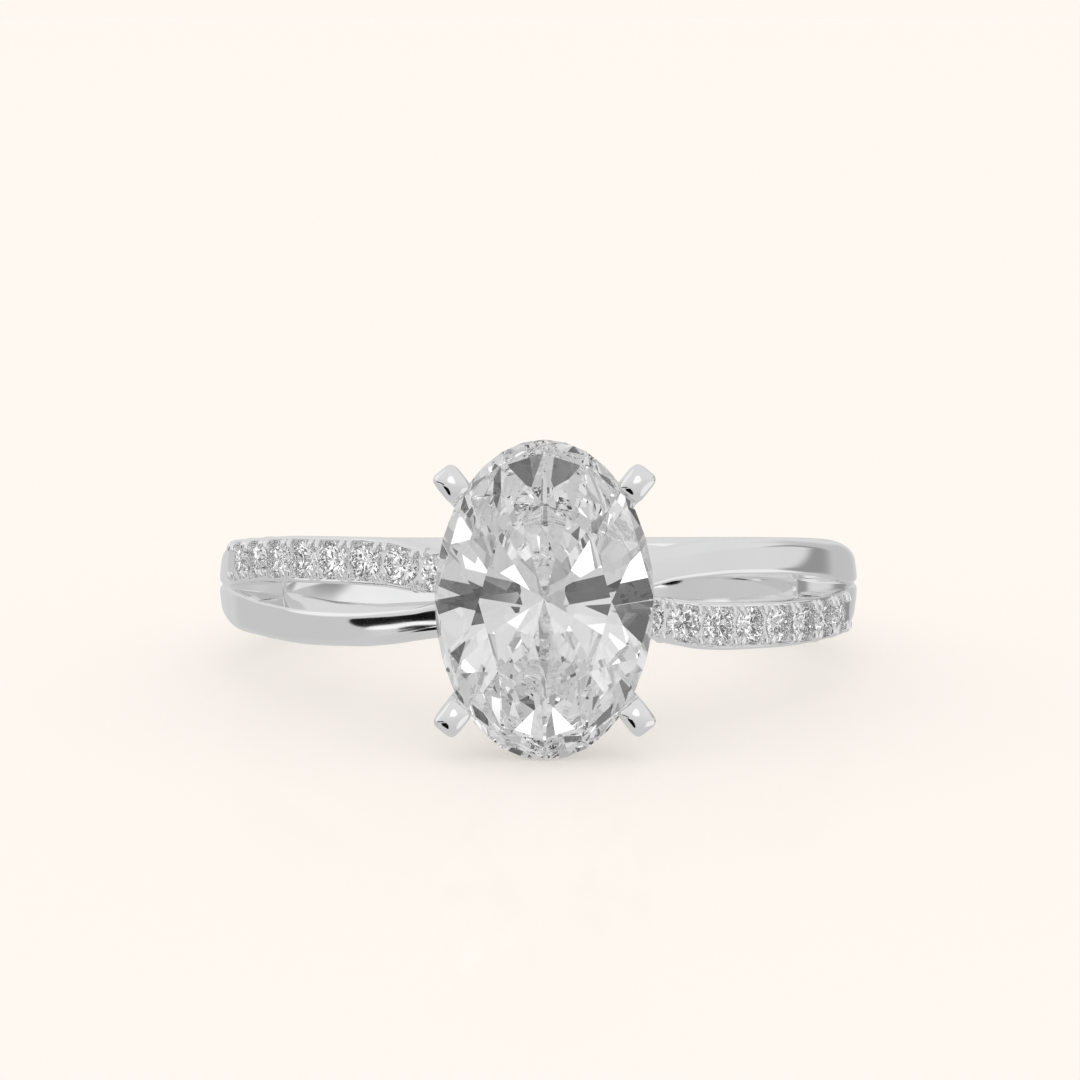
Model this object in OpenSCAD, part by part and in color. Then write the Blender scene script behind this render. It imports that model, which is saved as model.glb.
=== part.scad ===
// Split shank engagement ring: an oval brilliant in a four-prong basket, on a band that splits on each side
// into a plain strand and a strand set with eight small round brilliants.
// The two sides are alike under a half turn about the line through the oval stone.
// The ring lies on its side: the oval's lower tip and the lower rim at the back of the band touch the ground.
// In the ring's own frame Z is the finger's axis, -Y faces the oval stone and X runs along the band's width.

/* [Band] */
// Inside diameter of the band, a US size 6
inner_d = 16.5; // [16:0.1:17.5]
// Thickness of the band's wall
wall = 1.8; // [1.7:0.05:1.9]
// Width of the band at the back
back_w = 2.36; // [2.1:0.02:2.6]
// Greatest width across the two strands
shoulder_w = 3.22; // [3.1:0.02:3.4]

/* [Oval stone] */
// Width of the oval stone
oval_w = 6.05; // [5.8:0.05:6.3]
// Length of the oval stone
oval_l = 8.85; // [8.6:0.05:9.2]
// Distance from the band's outside to the oval stone's girdle
oval_rise = 2.5; // [2.4:0.05:2.8]

/* [Stone rows] */
// Diameter of each small stone
small_d = 1.1; // [1.04:0.02:1.12]
// Angle from the head to the first small stone of a row
row_start = 17.3; // [17:0.1:17.6]
// Angle from one small stone to the next
row_step = 6.85; // [6.8:0.05:6.95]

/* [Prongs] */
// Width of a prong across its tip
prong_w = 0.7; // [0.6:0.02:0.8]
// Thickness of a prong from the stone outwards
prong_t = 0.86; // [0.8:0.02:0.9]
// Height of the prong tips above the oval stone's girdle
prong_rise = 0.62; // [0.5:0.02:0.7]

/* [Hidden] */
ROW_LEN = 8;

WHITE_METAL = "gainsboro";
DIAMOND = "aliceblue";

// Clearance between a stone and the metal
gap = 0.03;
LEFT = -1;
RIGHT = 1;
UPPER = 1;
LOWER = -1;

inner_r = inner_d / 2;
outer_r = inner_r + wall;
// The strands reach this far inside the bore before it is cut
bore_cut = 0.3;
core_r = inner_r - bore_cut;
half_w = shoulder_w / 2;
back_share = back_w / shoulder_w;

// Angles from the head between which a slot lies open between the two strands
slot_start = 18;
slot_end = 58;
// Angle from the head at which the groove beyond the slot has become a shallow line, and the line's depth
groove_end = 74;
groove_d = 0.08;
// Width of the line's slanted sides
line_w = 0.05;
// Angles from the head between which that line fades towards the back
fade_start = 92;
fade_end = 125;
// Share of a strand's inner edge that is left at the bore
SLOPE_STONE = 0.85;
SLOPE_PLAIN = 0.65;
// Height above the bore at which the slanted wall of a slot starts
bore_lip = 0.15;
// The groove's floor is flat up to this distance from its edges, or up to this share of a narrow groove
floor_side = 0.08;
FLOOR_SHARE = 0.6;

// Edges of the two strands, as shares of half the shoulder's width, at some angles from the head
ANGLE = 0;
STONE_OUT = 1;
STONE_IN = 2;
PLAIN_IN = 3;
PLAIN_OUT = 4;
EDGE = [
    [0, 0.62, 0.03, 0.03, 0.62],
    [12, 0.66, 0.03, 0.05, 0.67],
    [18, 0.77, 0.04, 0.13, 0.76],
    [22, 0.88, 0.07, 0.24, 0.82],
    [27, 0.99, 0.14, 0.30, 0.90],
    [34, 1.03, 0.17, 0.34, 0.96],
    [44, 1.03, 0.18, 0.32, 0.97],
    [56, 0.98, 0.17, 0.22, 0.91],
    [64, 0.93, 0.11, 0.12, 0.86],
    [74, 0.89, 0.03, 0.03, 0.84],
    [95, 0.86, 0.03, 0.03, 0.83],
    [180, back_share, 0.03, 0.03, back_share]
];

// Slope of one column between two rows, and at a row: flat at both ends and wherever the column turns
function rise(t, c, i) = (t[i + 1][c] - t[i][c]) / (t[i + 1][ANGLE] - t[i][ANGLE]);
function slope(t, c, i) =
    (i == 0 || i == len(t) - 1 || rise(t, c, i - 1) * rise(t, c, i) <= 0) ? 0 :
    2 * rise(t, c, i - 1) * rise(t, c, i) / (rise(t, c, i - 1) + rise(t, c, i));

// Smooth value of one column at an angle
function row_at(t, a, i = 0) = (i >= len(t) - 2 || a < t[i + 1][ANGLE]) ? i : row_at(t, a, i + 1);
function column(t, c, a) =
    let (i = row_at(t, a))
    let (h = t[i + 1][ANGLE] - t[i][ANGLE])
    let (u = (a - t[i][ANGLE]) / h)
    t[i][c] * (1 + 2 * u) * pow(1 - u, 2) + slope(t, c, i) * h * u * pow(1 - u, 2)
    + t[i + 1][c] * (3 - 2 * u) * u * u + slope(t, c, i + 1) * h * (u - 1) * u * u;

// Smooth step from 0 at lo to 1 at hi
function ease(a, lo, hi) = let (u = min(1, max(0, (a - lo) / (hi - lo)))) u * u * (3 - 2 * u);

// The strand on one side of the middle plane carries stones to the left or to the right of the head
function is_stone(side, a) = side * a < 0;

// Inner edge of a strand at the band's outside and at its bore, and its outer edge
function edge_in(side, a) = half_w * column(EDGE, is_stone(side, a) ? STONE_IN : PLAIN_IN, abs(a));
function edge_out(side, a) = half_w * column(EDGE, is_stone(side, a) ? STONE_OUT : PLAIN_OUT, abs(a));
function is_open(a) = abs(a) > slot_start && abs(a) < slot_end;
function edge_bore(side, a) =
    is_open(a) ? edge_in(side, a) * (is_stone(side, a) ? SLOPE_STONE : SLOPE_PLAIN) : 0;
function strand_mid(side, a) = (edge_in(side, a) + edge_out(side, a)) / 2;

// Outside radius of the strands: they dip under the oval stone's point, between these angles from the head
head_dip = 0.8;
dip_full = 5;
dip_end = 12.5;
function strand_r(a) = outer_r - head_dip * (1 - ease(abs(a), dip_full, dip_end));

// Depth of the line between the joined strands: this share of it is gone at the back
line_loss = 0.94;
function line_d(a) = groove_d * (1 - line_loss * ease(abs(a), fade_start, fade_end));

// Radius of the metal between the strands where they are joined
function web_r(a) =
    abs(a) >= slot_end ? mix(inner_r + wall / 2, outer_r - line_d(a), ease(abs(a), slot_end, groove_end))
    : strand_r(a) - groove_d;

// Rims beside a stone row, depth of the channel between them and width of the channel's slanted side
rim_w = 0.13;
channel_d = 0.14;
channel_side = 0.03;
// Angles from the head between which the channel starts, and between which it ends
channel_start = [12, 14];
channel_end = [70, 73];
// Crown of the plain parts of the band over its width, and shares of it at the inner edge and over the middle
dome_d = 0.05;
INNER_DROP = 0.6;
TOP_DROP = 0.3;
// Rounding of a strand's outside edge: beside the stones, on the plain strand and at the back
stone_round = 0.1;
plain_round = 0.28;
back_round = 0.62;
// Angles from the head between which the rounding grows to that at the back
round_grow = [66, 84];
// Points of the rounding as shares of it: distance from the edge, and depth
ROUNDING = [[0.6, 0], [0.5, 0.08], [0.12, 0.38], [0, 1]];
// Outer wall near the bore: height above the bore and distance in from the edge
BORE_EDGE = [[0.45, 0.04], [0.08, 0.16]];
core_edge = 0.3;

// Section of a strand as radius and height: up the inner wall, over the outside, down the outer wall
function strand_section(side, a) =
    let (r = strand_r(a))
    let (lo = edge_in(side, a))
    let (hi = edge_out(side, a))
    let (bore_lo = edge_bore(side, a))
    let (foot_r = is_open(a) ? inner_r + bore_lip : web_r(a))
    let (stone = is_stone(side, a) ? 1 - ease(abs(a), channel_end[0], channel_end[1]) : 0)
    let (sink = channel_d * stone * ease(abs(a), channel_start[0], channel_start[1]))
    let (grow = ease(abs(a), round_grow[0], round_grow[1]))
    let (round = mix(is_stone(side, a) ? stone_round : plain_round, back_round, grow))
    let (dome = dome_d * (1 - stone) * (1 - ease(abs(a), fade_start, fade_end)))
    let (row_hi = hi - rim_w - round * ROUNDING[0][0])
    let (floor_r = is_open(a) ? mix(foot_r, r - line_d(a), 0.5) : foot_r)
    let (floor_z = is_open(a) ? mix(bore_lo, lo, 0.5) : max(lo - floor_side, lo * FLOOR_SHARE))
    [
        [core_r, bore_lo],
        [foot_r, bore_lo],
        [floor_r, floor_z],
        [r - line_d(a), lo],
        [r - dome * INNER_DROP, lo + line_w],
        [r - dome * TOP_DROP, lo + rim_w],
        [r - sink, lo + rim_w + channel_side],
        [r - sink, row_hi - channel_side],
        [r - dome * TOP_DROP, row_hi],
        for (k = [1 : 3]) [r - dome - round * ROUNDING[k][1], hi - round * ROUNDING[k][0]],
        for (p = BORE_EDGE) [inner_r + p[0], hi - p[1]],
        [core_r, hi - core_edge]
    ];
function mix(p, q, u) = p + (q - p) * u;
SECTION_LEN = 15;

// Angles of the sections round the band, close together over the head and the shoulders
fine_step = 3;
fine_end = 87;
coarse_step = 8.4;
COARSE_COUNT = 10;
STATIONS = concat(
    [for (k = [0 : COARSE_COUNT]) coarse_step * k - 180],
    [for (a = [-fine_end : fine_step : fine_end]) a],
    [for (k = [COARSE_COUNT : -1 : 1]) 180 - coarse_step * k]
);

function around(r, z, a) = [r * sin(a), -r * cos(a), z];
function strand_points(side) = [
    for (a = STATIONS)
        for (p = strand_section(side, a)) around(p[0], side * p[1], a)
];

// The lower strand shares the upper one's foot points wherever the two are joined
function point_id(side, k, j) =
    let (shared = side == UPPER || (j < 2 && !is_open(STATIONS[k])))
    (shared ? 0 : len(STATIONS) * SECTION_LEN) + k * SECTION_LEN + j;

function strand_faces(side) = [
    for (k = [0 : len(STATIONS) - 1])
        let (m = (k + 1) % len(STATIONS))
        for (j = [0 : SECTION_LEN - 1])
            let (n = (j + 1) % SECTION_LEN)
            if (j > 0 || is_open(STATIONS[k]) || is_open(STATIONS[m]))
                side == UPPER
                    ? [point_id(side, k, j), point_id(side, k, n), point_id(side, m, n), point_id(side, m, j)]
                    : [point_id(side, m, j), point_id(side, m, n), point_id(side, k, n), point_id(side, k, j)]
];

module strands() {
    polyhedron(
        points = concat(strand_points(UPPER), strand_points(LOWER)),
        faces = concat(strand_faces(UPPER), strand_faces(LOWER)),
        convexity = 6
    );
}

// A skin over rings of points, closed into a loop or capped at both ends
module skin(rings, loop = false) {
    n = len(rings[0]);
    count = len(rings);
    sides = [
        for (k = [0 : count - (loop ? 1 : 2)])
            for (j = [0 : n - 1])
                [k * n + j, (k + 1) % count * n + j, (k + 1) % count * n + (j + 1) % n, k * n + (j + 1) % n]
    ];
    caps = loop ? [] : [[for (j = [0 : n - 1]) j], [for (j = [n - 1 : -1 : 0]) (count - 1) * n + j]];
    polyhedron(points = [for (ring = rings) each ring], faces = concat(sides, caps), convexity = 4);
}

// Distance of the oval's girdle from the finger's axis, and its crown, pavilion and girdle
oval_reach = outer_r + oval_rise;
CROWN_SHARE = 0.15;
PAVILION_SHARE = 0.43;
oval_crown = CROWN_SHARE * oval_w;
oval_pavilion = PAVILION_SHARE * oval_w;
oval_girdle = 0.14;

// Direction of the prongs seen from the front, from the oval's long axis
prong_angle = 38.3;
// Distance from the oval's centre to its girdle in that direction
corner_r = 1 / sqrt(pow(2 * sin(prong_angle) / oval_w, 2) + pow(2 * cos(prong_angle) / oval_l, 2));
// Overlap of a prong over the girdle
prong_grip = 0.1;
prong_s = corner_r + prong_t / 2 - prong_grip;

// Path of a prong: distance from the stone's axis, height above the girdle, share of its full section
PRONG = [
    [prong_s - 1.81, -3.0, 0.6],
    [prong_s - 1.75, -2.84, 0.82],
    [prong_s - 1.55, -2.3, 0.86],
    [prong_s - 0.9, -1.4, 0.92],
    [prong_s - 0.35, -0.7, 0.97],
    [prong_s, -0.1, 1],
    [prong_s, prong_rise - 0.27, 1],
    [prong_s + 0.02, prong_rise - 0.12, 0.9],
    [prong_s + 0.04, prong_rise - 0.03, 0.7],
    [prong_s + 0.05, prong_rise, 0.4]
];
// A rounded square of sixteen points
corner_round = 0.3;
function prong_outline(w, t) = [
    for (quarter = [0 : 3])
        for (step = [0 : 3])
            let (turn = 90 * quarter + 30 * step)
            let (sx = quarter == 0 || quarter == 3 ? 1 : -1)
            let (sy = quarter < 2 ? 1 : -1)
            [
                sx * w * (0.5 - corner_round) + w * corner_round * cos(turn),
                sy * t * (0.5 - corner_round) + t * corner_round * sin(turn)
            ]
];

// Turns a shape built on the girdle's plane, Y along the oval and Z to its face, to the front of the ring
module at_head() {
    translate([0, -oval_reach, 0]) rotate([90, 0, 0]) children();
}

module prongs() {
    for (turn = [prong_angle, 180 - prong_angle, 180 + prong_angle, -prong_angle])
        at_head() rotate([0, 0, -turn])
            skin([
                for (p = PRONG)
                    [for (q = prong_outline(prong_w * p[2], prong_t * p[2])) [q[0], p[0] + q[1], p[1]]]
            ]);
}

// An oval rail of round wire, at a depth below the girdle
RAIL_SIDES = 8;
RAIL_STEPS = 32;
module rail(rx, ry, depth, wire_r) {
    at_head() translate([0, 0, -depth])
        skin([
            for (k = [0 : RAIL_STEPS - 1])
                let (a = 360 * k / RAIL_STEPS)
                [
                    for (j = [0 : RAIL_SIDES - 1])
                        let (b = -360 * j / RAIL_SIDES)
                        [(rx + wire_r * cos(b)) * cos(a), (ry + wire_r * cos(b)) * sin(a), wire_r * sin(b)]
                ]
        ], loop = true);
}

// Rails of the basket: distances in from the girdle across and along the oval, depth and radius of the wire
UPPER_RAIL = [0.62, 0.95, 1.35, 0.32];
LOWER_RAIL = [1.3, 2.25, 2.65, 0.38];
module basket() {
    prongs();
    for (p = [UPPER_RAIL, LOWER_RAIL])
        rail(oval_w / 2 - p[0], oval_l / 2 - p[1], p[2], p[3]);
}

// A brilliant cut about Z with its girdle at height 0, eight-sided table up, parts girdle points a half facet
TABLE = 0.56;
STAR = 0.79;
LOWER_TIP = 0.24;
function ring_at(share, z, rx, ry, count, from = 0) = [
    for (k = [0 : count - 1])
        let (a = from + 360 * k / count)
        [share * rx * cos(a), share * ry * sin(a), z]
];
module brilliant(rx, ry, crown, girdle, pavilion, parts = 1) {
    count = 16 * parts;
    half = girdle / 2;
    star_h = crown * (1 - STAR * cos(22.5)) / (1 - TABLE);
    lower_h = pavilion * (1 - LOWER_TIP * cos(22.5));
    points = concat(
        ring_at(TABLE, half + crown, rx, ry, 8),
        ring_at(STAR, half + star_h, rx, ry, 8, 22.5),
        ring_at(1, half, rx, ry, count),
        ring_at(1, -half, rx, ry, count),
        ring_at(LOWER_TIP, -half - lower_h, rx, ry, 8, 22.5),
        [[0, 0, -half - pavilion]]
    );
    star = 8;
    top = 16;
    low = top + count;
    tip = low + count;
    culet = tip + 8;
    faces = concat(
        [[for (k = [7 : -1 : 0]) k]],
        [for (k = [0 : 7]) [k, (k + 1) % 8, star + k]],
        [for (k = [0 : 7]) [k, star + k, top + 2 * parts * k, star + (k + 7) % 8]],
        [for (j = [0 : count - 1]) [star + floor(j / (2 * parts)), top + (j + 1) % count, top + j]],
        [for (j = [0 : count - 1]) [top + j, top + (j + 1) % count, low + (j + 1) % count, low + j]],
        [for (j = [0 : count - 1]) [tip + floor(j / (2 * parts)), low + j, low + (j + 1) % count]],
        [for (k = [0 : 7]) [culet, tip + (k + 7) % 8, low + 2 * parts * k, tip + k]]
    );
    polyhedron(points = points, faces = faces, convexity = 2);
}

module oval(grow = 0) {
    at_head() brilliant(oval_w / 2 + grow, oval_l / 2 + grow, oval_crown, oval_girdle + 2 * grow,
        oval_pavilion + grow, 2);
}

// Small stones: the left row is on the upper strand, the right row on the lower one
small_r = small_d / 2;
small_sink = 0.13;
small_crown = CROWN_SHARE * small_d;
small_girdle = 0.03;
small_pavilion = PAVILION_SHARE * small_d;
function row_angle(row, i) = row * (row_start + row_step * (i - 1));
function row_side(row) = -row;

// Puts a shape in place of one small stone: its girdle at height 0 and its face away from the finger
module at_small(row, i, shift = 0, across = 0) {
    a = row_angle(row, i) + shift;
    z = row_side(row) * strand_mid(row_side(row), a);
    rotate([0, 0, a]) translate([0, small_sink - outer_r, z]) rotate([90, 0, 0])
        translate([0, across, 0]) children();
}

module small_stone(row, i) {
    at_small(row, i) brilliant(small_r, small_r, small_crown, small_girdle, small_pavilion);
}

// Seat of a small stone: a blunt cone below the girdle, and a straight hole that starts just below it
SEAT_SIDES = 32;
seat_tip_r = 0.05;
seat_ledge = 0.04;
seat_top = 1;
module seat() {
    translate([0, 0, -small_pavilion - gap])
        cylinder(h = small_pavilion, r1 = seat_tip_r, r2 = small_r + gap, $fn = SEAT_SIDES);
    translate([0, 0, -seat_ledge]) cylinder(h = seat_top, r = small_r + gap, $fn = SEAT_SIDES);
}

// Claws of a stone row: at each meeting of two stones, two pairs stand at the rims
CLAW_SIDES = 16;
claw_r = 0.12;
claw_foot_r = 0.144;
// Height above the small stones' girdles and depth below them
claw_h = 0.14;
claw_d = 0.2;
// Places from the meeting of two stones: angle along the band and distance across it
claw_gap = 0.85;
claw_across = 0.48;
module claws(row) {
    for (i = [0 : ROW_LEN])
        for (shift = [row_step / 2 - claw_gap, row_step / 2 + claw_gap])
            for (across = [-claw_across, claw_across])
                at_small(row, max(i, 1), shift - (i == 0 ? row_step : 0), across)
                    translate([0, 0, -claw_d])
                        cylinder(h = claw_d + claw_h, r1 = claw_foot_r, r2 = claw_r, $fn = CLAW_SIDES);
}

BORE_SIDES = 160;
module finger_hole() {
    cylinder(h = 4 * shoulder_w, r = inner_r, center = true, $fn = BORE_SIDES);
}

// Lays the ring on its side: the line from the girdle's lower tip to the rim at the back becomes level
tip_y = oval_reach - oval_girdle / 2;
lay_tilt = atan((oval_l - back_w) / 2 / (tip_y + outer_r - back_round));
// Height of the ring's centre above the ground, and its place midway between the table and the back
centre_z = oval_l / 2 * cos(lay_tilt) - tip_y * sin(lay_tilt);
front_y = (oval_reach + oval_girdle / 2 + oval_crown) * cos(lay_tilt) + TABLE * oval_l / 2 * sin(lay_tilt);
back_y = outer_r * cos(lay_tilt) + (back_w / 2 - back_round) * sin(lay_tilt);
module lay_down() {
    translate([0, (front_y - back_y) / 2, centre_z]) rotate([-lay_tilt, 0, 0]) children();
}

module mounting() {
    color(WHITE_METAL) lay_down() difference() {
        union() {
            strands();
            basket();
            claws(LEFT);
            claws(RIGHT);
        }
        finger_hole();
        oval(gap);
        for (row = [LEFT, RIGHT])
            for (i = [1 : ROW_LEN])
                at_small(row, i) seat();
    }
}

module center_stone() {
    color(DIAMOND) lay_down() oval();
}

module pave(row, i) {
    color(DIAMOND) lay_down() small_stone(row, i);
}

mounting();
center_stone();
for (i = [1 : ROW_LEN]) {
    pave(LEFT, i);
    pave(RIGHT, i);
}
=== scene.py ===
import math

import bmesh
import bpy
from mathutils import Matrix, Vector


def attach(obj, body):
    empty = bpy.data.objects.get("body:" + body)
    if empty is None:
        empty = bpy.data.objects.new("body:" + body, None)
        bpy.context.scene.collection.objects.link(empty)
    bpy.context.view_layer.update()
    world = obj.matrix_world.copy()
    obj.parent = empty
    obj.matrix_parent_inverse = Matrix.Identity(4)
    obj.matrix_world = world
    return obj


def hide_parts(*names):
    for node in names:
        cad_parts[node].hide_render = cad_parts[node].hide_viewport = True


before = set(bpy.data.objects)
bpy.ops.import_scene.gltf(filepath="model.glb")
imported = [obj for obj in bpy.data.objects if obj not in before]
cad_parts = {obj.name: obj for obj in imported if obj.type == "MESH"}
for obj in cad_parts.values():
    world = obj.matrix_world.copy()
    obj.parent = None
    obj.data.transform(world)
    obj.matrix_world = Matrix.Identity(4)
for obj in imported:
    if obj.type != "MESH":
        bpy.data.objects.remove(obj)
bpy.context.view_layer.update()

# Everything is built in millimetres in the ring's own frame: Z is the finger's axis, -Y faces the oval stone
MM = 0.001

# Band: sizes in millimetres, angles in degrees from the head, the rest shares
INNER_R = 8.25
WALL = 1.8
OUTER_R = INNER_R + WALL
# Half the width of the shoulders, and the width at the back
HALF_W = 1.61
BACK_W = 2.36
BACK_SHARE = BACK_W / (2 * HALF_W)
# Angles between which a slot is open
SLOT_START = 18.0
SLOT_END = 58.0
# Angle at which the groove beyond the slot has become a shallow line, and the line's depth
GROOVE_END = 74.0
GROOVE_D = 0.08
# Angles between which the line and the doming fade towards the back, and the share of the line that is lost
FADE = (92.0, 125.0)
LINE_LOSS = 0.94
# Share of a strand's inner edge that is left at the bore
SLOPE_STONE = 0.85
SLOPE_PLAIN = 0.65
# Rounding of the edge between the bore and the wall of a slot
BORE_LIP = 0.15
# The groove's floor is flat up to this distance from its edges, or up to this share of a narrow groove
FLOOR_SIDE = 0.08
FLOOR_SHARE = 0.6
# The band is thinner below the oval: by how much, and the angles between which it grows to its full height
HEAD_DIP = 0.8
DIP = (5.0, 12.5)
# Stone-set strand: width of the rims beside its sunken channel, and the channel's depth
RIM_W = 0.13
CHANNEL_D = 0.14
# Fall from a rim into the channel: distance from the fall's middle and share of the channel's depth
CHANNEL_FALL = [(-0.03, 0), (-0.01, 0.04), (0.01, 0.5), (0.03, 0.96), (0.06, 1)]
# Narrowest channel, and the flat strips on both sides of the outer rim
CHANNEL_LEAST = 0.3
RIM_OUTSIDE = 0.02
RIM_TOP = 0.05
# Angles between which the channel begins, and between which it ends
CHANNEL_START = (12.0, 14.0)
CHANNEL_END = (70.0, 73.0)
# Doming of a plain strand
DOME_D = 0.05
# Rounding of a strand's outer edge, and the angles between which it grows to that at the back
STONE_ROUND = 0.1
PLAIN_ROUND = 0.28
BACK_ROUND = 0.62
ROUND_GROW = (66.0, 84.0)

# Parts of a strand's section, each with a fixed number of points
TOP_POINTS = 24
ARC_POINTS = 10
BORE_POINTS = 6
LIP_POINTS = 6
# Rounding of the outside edge: width and depth as shares of the rounding
ARC_WIDE = 1.16
ARC_DEEP = 1.6
ARC_LIMIT = 1.0
# Crowding of a plain strand's points towards its inner edge, how far the top may run into the rounding, and
# the least width that the doming is measured over
CROWDING = 1.3
TOP_OVER = 0.03
LEAST_TOP = 1e-6
# Rounding of the bore's edge: height above the bore, width and the outer wall's lean
COMFORT_H = 0.42
COMFORT_W = 0.26
WALL_LEAN = 0.04
# Rounding of a strand's inner edge, its share at 45 degrees, and how it fades across and along the strand
EDGE_SOFT = 0.045
EDGE_MID = 0.29
EDGE_POWER = 1.2
EDGE_IN = 6
EDGE_OUT = 8
# Slot's end surface: lean away from the slot, thickness of the edge above it, and least height over the bore
END_LEAN = 0.12
END_EDGE = 0.05
LEAST_HOLLOW = 0.18
# Steps along a slot's side wall where it meets the thin edge of the end
EDGE_STEP = 0.018
# Heights of the points of a slot's side wall elsewhere, as shares of the wall
WALL_SHARES = (0, 0.6, 0.85)
# Doming of the bore across its width
BORE_DOME = 0.19
# Sections along the band, in degrees: over the front half, next to the ends of the slots, and over the back
FRONT_END = 90
FRONT_STEP = 0.75
AT_START = (0.12, 0.3)
AT_END = (-0.3, -0.1, 0.02, 0.2, 0.45)
BACK_LEFT = range(-178, -91, 3)
BACK_RIGHT = range(92, 180, 3)

# Oval stone: its width and length, and the distance from the band's outside to its girdle
OVAL_W = 6.05
OVAL_L = 8.85
OVAL_RISE = 2.5
OVAL_REACH = OUTER_R + OVAL_RISE
# Depth of a stone's crown and pavilion, as shares of its width
CROWN_SHARE = 0.15
PAVILION_SHARE = 0.43
OVAL_CROWN = CROWN_SHARE * OVAL_W
OVAL_PAVILION = PAVILION_SHARE * OVAL_W
OVAL_GIRDLE = 0.14
# Table of the oval in the solids, and gap between the oval and its seat
CAD_TABLE = 0.56
GAP = 0.03
# Cut of the oval: its table, star points and lower girdle facets as shares of its radius, and the numbers of
# its pavilion mains and girdle sides
OVAL_TABLE = 0.60
OVAL_STAR = 0.92
OVAL_TIP = 0.14
OVAL_MAINS = 8
OVAL_SIDES = 32

# Stone rows: number of stones, angle to the first one, and angle from one to the next
ROW_LEN = 8
ROW_START = 17.3
ROW_STEP = 6.85
# Small stones: diameter, depth of the girdle below the band's outside, its thickness, and the cut as above
SMALL_D = 1.1
SMALL_SINK = 0.13
SMALL_GIRDLE = 0.03
SMALL_TABLE = 0.56
SMALL_STAR = 0.79
SMALL_TIP = 0.24
SMALL_MAINS = 8
SMALL_SIDES = 48
# Seats: gap round a stone, radius of the cone's foot, height of the hole over the girdle
SEAT_GAP = 0.008
SEAT_FOOT = 0.05
SEAT_TOP = 0.9
SEAT_SIDES = 48

# Prongs: width, thickness from the stone outwards, height over the girdle, direction from the oval's long
# axis, and overlap over the girdle
PRONG_W = 0.7
PRONG_T = 0.86
PRONG_RISE = 0.62
PRONG_ANGLE = 38.3
PRONG_GRIP = 0.1

UPPER, LOWER = 1, -1
LEFT, RIGHT = -1, 1

# Edges of the two strands, as shares of half the shoulder's width, at some angles from the head
STONE_OUT, STONE_IN, PLAIN_IN, PLAIN_OUT = 1, 2, 3, 4
EDGE = [
    (0, 0.62, 0.03, 0.03, 0.62),
    (12, 0.66, 0.03, 0.05, 0.67),
    (18, 0.77, 0.04, 0.13, 0.76),
    (22, 0.88, 0.07, 0.24, 0.82),
    (27, 0.99, 0.14, 0.30, 0.90),
    (34, 1.03, 0.17, 0.34, 0.96),
    (44, 1.03, 0.18, 0.32, 0.97),
    (56, 0.98, 0.17, 0.22, 0.91),
    (64, 0.93, 0.11, 0.12, 0.86),
    (74, 0.89, 0.03, 0.03, 0.84),
    (95, 0.86, 0.03, 0.03, 0.83),
    (180, BACK_SHARE, 0.03, 0.03, BACK_SHARE),
]


def mix(p, q, u):
    return p + (q - p) * u


def ease(a, span):
    u = min(1.0, max(0.0, (a - span[0]) / (span[1] - span[0])))
    return u * u * (3 - 2 * u)


def smooth_value(table, col, a):
    """One column of a table at an angle, flat at both ends and wherever the column turns."""
    last = len(table) - 1

    def rise(i):
        return (table[i + 1][col] - table[i][col]) / (table[i + 1][0] - table[i][0])

    def slope(i):
        if i == 0 or i == last or rise(i - 1) * rise(i) <= 0:
            return 0.0
        return 2 * rise(i - 1) * rise(i) / (rise(i - 1) + rise(i))

    i = 0
    while i < last - 1 and a >= table[i + 1][0]:
        i += 1
    h = table[i + 1][0] - table[i][0]
    u = (a - table[i][0]) / h
    return (
        table[i][col] * (1 + 2 * u) * (1 - u) ** 2
        + slope(i) * h * u * (1 - u) ** 2
        + table[i + 1][col] * (3 - 2 * u) * u * u
        + slope(i + 1) * h * (u - 1) * u * u
    )


def is_stone(side, a):
    return side * a < 0


def edge_in(side, a):
    return HALF_W * smooth_value(EDGE, STONE_IN if is_stone(side, a) else PLAIN_IN, abs(a))


def edge_out(side, a):
    return HALF_W * smooth_value(EDGE, STONE_OUT if is_stone(side, a) else PLAIN_OUT, abs(a))


def is_open(a):
    return SLOT_START < abs(a) < SLOT_END


def strand_mid(side, a):
    return (edge_in(side, a) + edge_out(side, a)) / 2


def strand_r(a):
    return OUTER_R - HEAD_DIP * (1 - ease(abs(a), DIP))


def line_d(a):
    return GROOVE_D * (1 - LINE_LOSS * ease(abs(a), FADE))


def edge_drop(a):
    """Depth of the rounding at a strand's inner edge: the groove's, and less where a slot is open."""
    opening = ease(abs(a), (SLOT_START, SLOT_START + EDGE_IN))
    closing = ease(abs(a), (SLOT_END - EDGE_OUT, SLOT_END))
    share = opening * (1 - closing)
    return max(mix(line_d(a), EDGE_SOFT, share), EDGE_SOFT)


def web_r(a):
    if abs(a) >= SLOT_END:
        return mix(INNER_R + WALL / 2, OUTER_R - line_d(a), ease(abs(a), (SLOT_END, GROOVE_END)))
    return strand_r(a) - GROOVE_D


def end_r(a):
    """Radius of a slot's end surface, which leans outwards towards the bore. Elsewhere the bore's radius."""
    turn, end = math.radians(abs(a)), math.radians(SLOT_END)
    if not SLOT_END <= abs(a) <= FRONT_END:
        return INNER_R
    reach = web_r(SLOT_END) * (math.sin(end) + END_LEAN * math.cos(end)) - END_EDGE
    r = reach / (math.sin(turn) + END_LEAN * math.cos(turn))
    return r if r > INNER_R + LEAST_HOLLOW else INNER_R


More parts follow.
